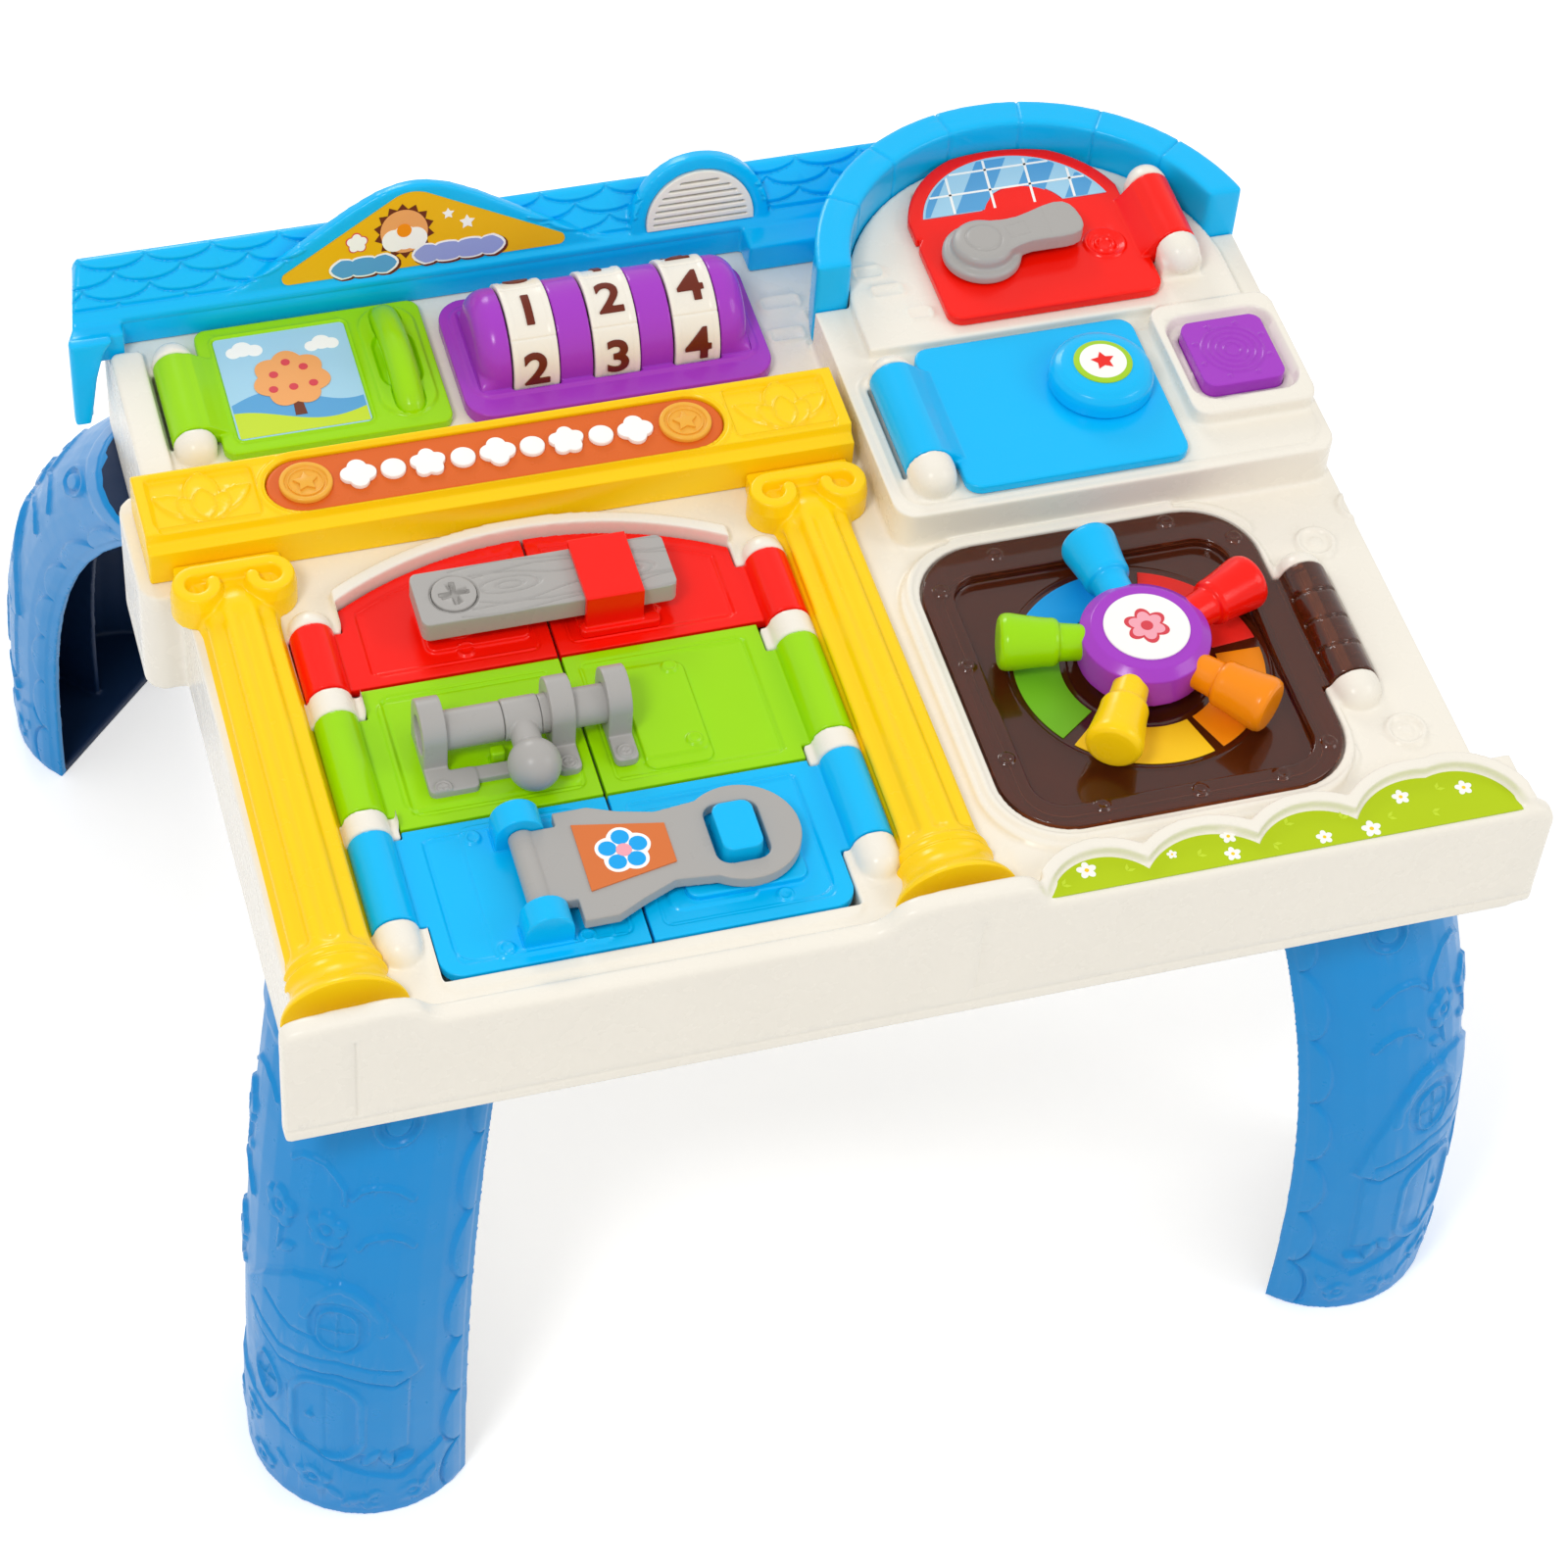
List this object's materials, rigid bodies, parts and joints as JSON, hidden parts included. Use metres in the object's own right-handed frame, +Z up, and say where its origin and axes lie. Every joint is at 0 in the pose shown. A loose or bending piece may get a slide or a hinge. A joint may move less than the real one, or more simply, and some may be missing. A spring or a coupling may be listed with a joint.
{
  "type": "musical activity table",
  "caption": "Toddler's activity table shaped like a small bank front, with latch doors, number reels, a vault with doors and a button, a turning wheel and curved legs.",
  "frame": {"origin": "centre of the footprint of the four feet, on the floor", "axes": "+X along the table's length toward the wheel side, +Y away from the child toward the roof, +Z up"},
  "size_m": [0.5242, 0.454, 0.3225],
  "materials": {
    "cream": "gloss",
    "sky": "gloss",
    "leg_blue": "satin",
    "yellow": "gloss",
    "red": "gloss",
    "green": "gloss",
    "purple": "gloss",
    "grey": "satin",
    "smoke": "gloss",
    "plaque": "gloss",
    "gold": "gloss",
    "label_blue": "satin",
    "label_yellow": "satin",
    "label_orange": "satin",
    "label_green": "satin",
    "label_white": "satin",
    "arcs": "gloss",
    "steel": "satin",
    "dark": "matt",
    "board": "satin",
    "rubber": "matt"
  },
  "bodies": {
    "table": {"top_shell": "cream", "bottom_shell": "cream", "battery_door": "cream", "battery_cells": "dark", "circuit_board": "board", "speaker": "dark", "speaker_grille": "cream", "case_screws": "steel", "leg_front_left": "leg_blue", "leg_front_right": "leg_blue", "leg_rear_left": "leg_blue", "leg_rear_right": "leg_blue", "roof_panel": "sky", "gable_label": "label_yellow", "arch_rim": "sky", "beam": "yellow", "column_left": "yellow", "column_right": "yellow", "sign_plate": "plaque", "sign_emblems": "gold", "reel_housing": "purple", "reel_axle": "steel", "red_door_left": "red", "red_door_right": "red", "green_door_left": "green", "green_door_right": "green", "latch_hinge_rods": "steel", "hinge_pins": "steel", "bar_screw": "grey", "bar_strap": "red", "bolt_base": "grey", "bolt_keeper": "grey", "button_dome": "rubber", "hills_label": "label_green"},
    "picture_door": {"picture_door": "green", "picture_label": "label_blue"},
    "reel_left": {"reel_left": "cream"},
    "reel_middle": {"reel_middle": "cream"},
    "reel_right": {"reel_right": "cream"},
    "latch_bar": {"latch_bar": "grey"},
    "bolt": {"bolt_rod": "grey"},
    "bolt_knob": {"bolt_knob": "grey"},
    "blue_door_left": {"blue_door_left": "sky", "hasp_pin": "grey"},
    "hasp": {"hasp": "grey", "hasp_label": "label_orange"},
    "blue_door_right": {"blue_door_right": "sky"},
    "red_vault_door": {"red_vault_door": "red", "window_label": "label_blue"},
    "vault_lever": {"vault_lever": "grey"},
    "blue_vault_door": {"blue_vault_door": "sky"},
    "vault_knob": {"vault_knob": "sky", "knob_badge": "label_white"},
    "press_button": {"press_button": "purple"},
    "wheel_door": {"wheel_door": "smoke", "colour_arcs": "arcs"},
    "wheel": {"wheel_hub": "purple", "wheel_spokes": "yellow", "hub_badge": "label_white"}
  },
  "joints": [
    {"name": "reel_left_spin", "type": "hinge", "parent": "table", "child": "reel_left", "pos_m": [-0.0695, 0.0855, 0.281], "axis": [1, 0, 0], "continuous": true},
    {"name": "reel_middle_spin", "type": "hinge", "parent": "table", "child": "reel_middle", "pos_m": [-0.0388, 0.0855, 0.281], "axis": [1, 0, 0], "continuous": true},
    {"name": "reel_right_spin", "type": "hinge", "parent": "table", "child": "reel_right", "pos_m": [-0.0081, 0.0855, 0.281], "axis": [1, 0, 0], "continuous": true},
    {"name": "picture_door_hinge", "type": "hinge", "parent": "table", "child": "picture_door", "pos_m": [-0.197, 0.0865, 0.2754], "axis": [0, -1, 0], "range_deg": [0, 100]},
    {"name": "latch_bar_swing", "type": "hinge", "parent": "table", "child": "latch_bar", "pos_m": [-0.1247, -0.038, 0.2828], "axis": [0, 0, 1], "range_deg": [0, 18]},
    {"name": "bolt_slide", "type": "slide", "parent": "table", "child": "bolt", "axis": [-1, 0, 0], "range_m": [0, 0.0115]},
    {"name": "bolt_turn", "type": "hinge", "parent": "bolt", "child": "bolt_knob", "pos_m": [-0.1152, -0.0962, 0.2845], "axis": [-1, 0, 0], "range_deg": [0, 90]},
    {"name": "blue_door_left_hinge", "type": "hinge", "parent": "table", "child": "blue_door_left", "pos_m": [-0.1751, -0.1595, 0.273], "axis": [0, -1, 0], "range_deg": [0, 90]},
    {"name": "blue_door_right_hinge", "type": "hinge", "parent": "table", "child": "blue_door_right", "pos_m": [-0.0095, -0.1595, 0.273], "axis": [0, 1, 0], "range_deg": [0, 90]},
    {"name": "hasp_hinge", "type": "hinge", "parent": "blue_door_left", "child": "hasp", "pos_m": [-0.1263, -0.1595, 0.2786], "axis": [0, -1, 0], "range_deg": [0, 90]},
    {"name": "red_vault_hinge", "type": "hinge", "parent": "table", "child": "red_vault_door", "pos_m": [0.177, 0.0775, 0.303], "axis": [0, 1, 0], "range_deg": [0, 90]},
    {"name": "vault_lever_turn", "type": "hinge", "parent": "red_vault_door", "child": "vault_lever", "pos_m": [0.104, 0.0735, 0.303], "axis": [0, 0, 1], "range_deg": [0, 90]},
    {"name": "blue_vault_hinge", "type": "hinge", "parent": "table", "child": "blue_vault_door", "pos_m": [0.0546, 0.0015, 0.294], "axis": [0, -1, 0], "range_deg": [0, 90]},
    {"name": "vault_knob_turn", "type": "hinge", "parent": "blue_vault_door", "child": "vault_knob", "pos_m": [0.129, 0.006, 0.294], "axis": [0, 0, 1], "continuous": true},
    {"name": "button_press", "type": "slide", "parent": "table", "child": "press_button", "axis": [0, 0, -1], "range_m": [0, 0.003], "stiffness_N_per_m": 300, "springref_m": -0.004, "deforming": ["button_dome"]},
    {"name": "wheel_door_hinge", "type": "hinge", "parent": "table", "child": "wheel_door", "pos_m": [0.178, -0.1115, 0.273], "axis": [0, 1, 0], "range_deg": [0, 90]},
    {"name": "wheel_spin", "type": "hinge", "parent": "wheel_door", "child": "wheel", "pos_m": [0.1075, -0.1105, 0.275], "axis": [0, 0, 1], "continuous": true}
  ],
  "couplings": [
    {"joint": "blue_door_right_hinge", "follows": "blue_door_left_hinge", "ratio": 1}
  ]
}
